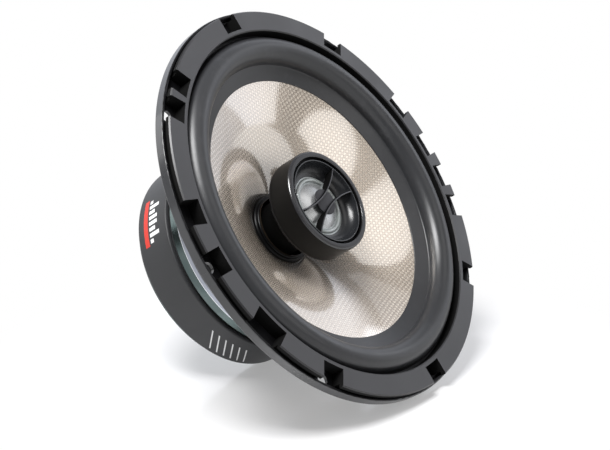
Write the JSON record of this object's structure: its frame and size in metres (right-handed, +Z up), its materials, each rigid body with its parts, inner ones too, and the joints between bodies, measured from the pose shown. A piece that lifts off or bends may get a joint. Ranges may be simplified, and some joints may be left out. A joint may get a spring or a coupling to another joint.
{
  "type": "coaxial car speaker",
  "caption": "Round coaxial car speaker: woofer with woven cone and rubber surround, fixed dome tweeter on a centre post, steel basket, covered ring magnet and blade terminals.",
  "frame": {"origin": "on the speaker's axis, in the plane of the mounting flange's back face", "axes": "-Y out of the speaker's face along its axis, +Y towards the magnet, +Z up towards the terminals, +X to the right as seen from the front"},
  "size_m": [0.1664, 0.0695, 0.1664],
  "materials": {
    "basket_paint": "satin black powder coat",
    "trim_plastic": "fine satin",
    "surround_rubber": "satin",
    "woven_glass": "clear-coated weave",
    "collar_plastic": "satin",
    "former_foil": "plain foil",
    "copper_wire": "enamelled copper",
    "spider_cloth": "resin-stiffened cotton",
    "tinsel_braid": "braided",
    "terminal_board": "laminate",
    "terminal_brass": "tinned",
    "bright_steel": "zinc plated",
    "capacitor_sleeve": "shrink sleeve",
    "zinc_plate": "bright zinc",
    "ferrite": "matt ground",
    "boot_rubber": "satin",
    "tweeter_plastic": "satin",
    "horn_gloss": "gloss",
    "dome_metal": "bright",
    "dome_edge_cloth": "coated silk",
    "bright_nickel": "nickel plated",
    "wire_red": "insulation",
    "wire_black": "insulation"
  },
  "bodies": {
    "frame": {"basket": "basket_paint", "front_ring": "trim_plastic", "surround": "surround_rubber", "spider": "spider_cloth", "tinsel_lead_positive": "tinsel_braid", "tinsel_lead_negative": "tinsel_braid", "terminal_board": "terminal_board", "terminal_positive": "terminal_brass", "terminal_negative": "terminal_brass", "terminal_rivets": "terminal_brass", "board_rivet": "bright_steel", "crossover_capacitor": "capacitor_sleeve", "capacitor_leads": "bright_steel", "top_plate": "zinc_plate", "ferrite_magnet": "ferrite", "yoke": "zinc_plate", "magnet_boot": "boot_rubber", "basket_rivets": "bright_steel", "tweeter_post": "tweeter_plastic", "tweeter_housing": "tweeter_plastic", "tweeter_horn": "horn_gloss", "phase_plug": "horn_gloss", "dome_surround": "dome_edge_cloth", "tweeter_pole_plate": "zinc_plate", "tweeter_magnet": "bright_nickel", "tweeter_yoke": "zinc_plate", "post_tube": "terminal_brass", "post_washer": "bright_steel", "post_nut": "bright_steel", "tweeter_lead_positive": "wire_red", "tweeter_lead_negative": "wire_black"},
    "cone_assembly": {"cone": "woven_glass", "neck_collar": "collar_plastic", "voice_coil_former": "former_foil", "voice_coil_winding": "copper_wire"},
    "dome_assembly": {"tweeter_dome": "dome_metal", "tweeter_coil_former": "former_foil", "tweeter_coil_winding": "copper_wire"}
  },
  "joints": [
    {"name": "cone_travel", "type": "slide", "parent": "frame", "child": "cone_assembly", "axis": [0, -1, 0], "range_m": [-0.004, 0.004], "stiffness_N_per_m": 20, "deforming": ["surround", "spider", "tinsel_lead_positive", "tinsel_lead_negative"]},
    {"name": "dome_travel", "type": "slide", "parent": "frame", "child": "dome_assembly", "axis": [0, -1, 0], "range_m": [-0.0004, 0.0004], "stiffness_N_per_m": 20, "deforming": ["dome_surround"]}
  ]
}
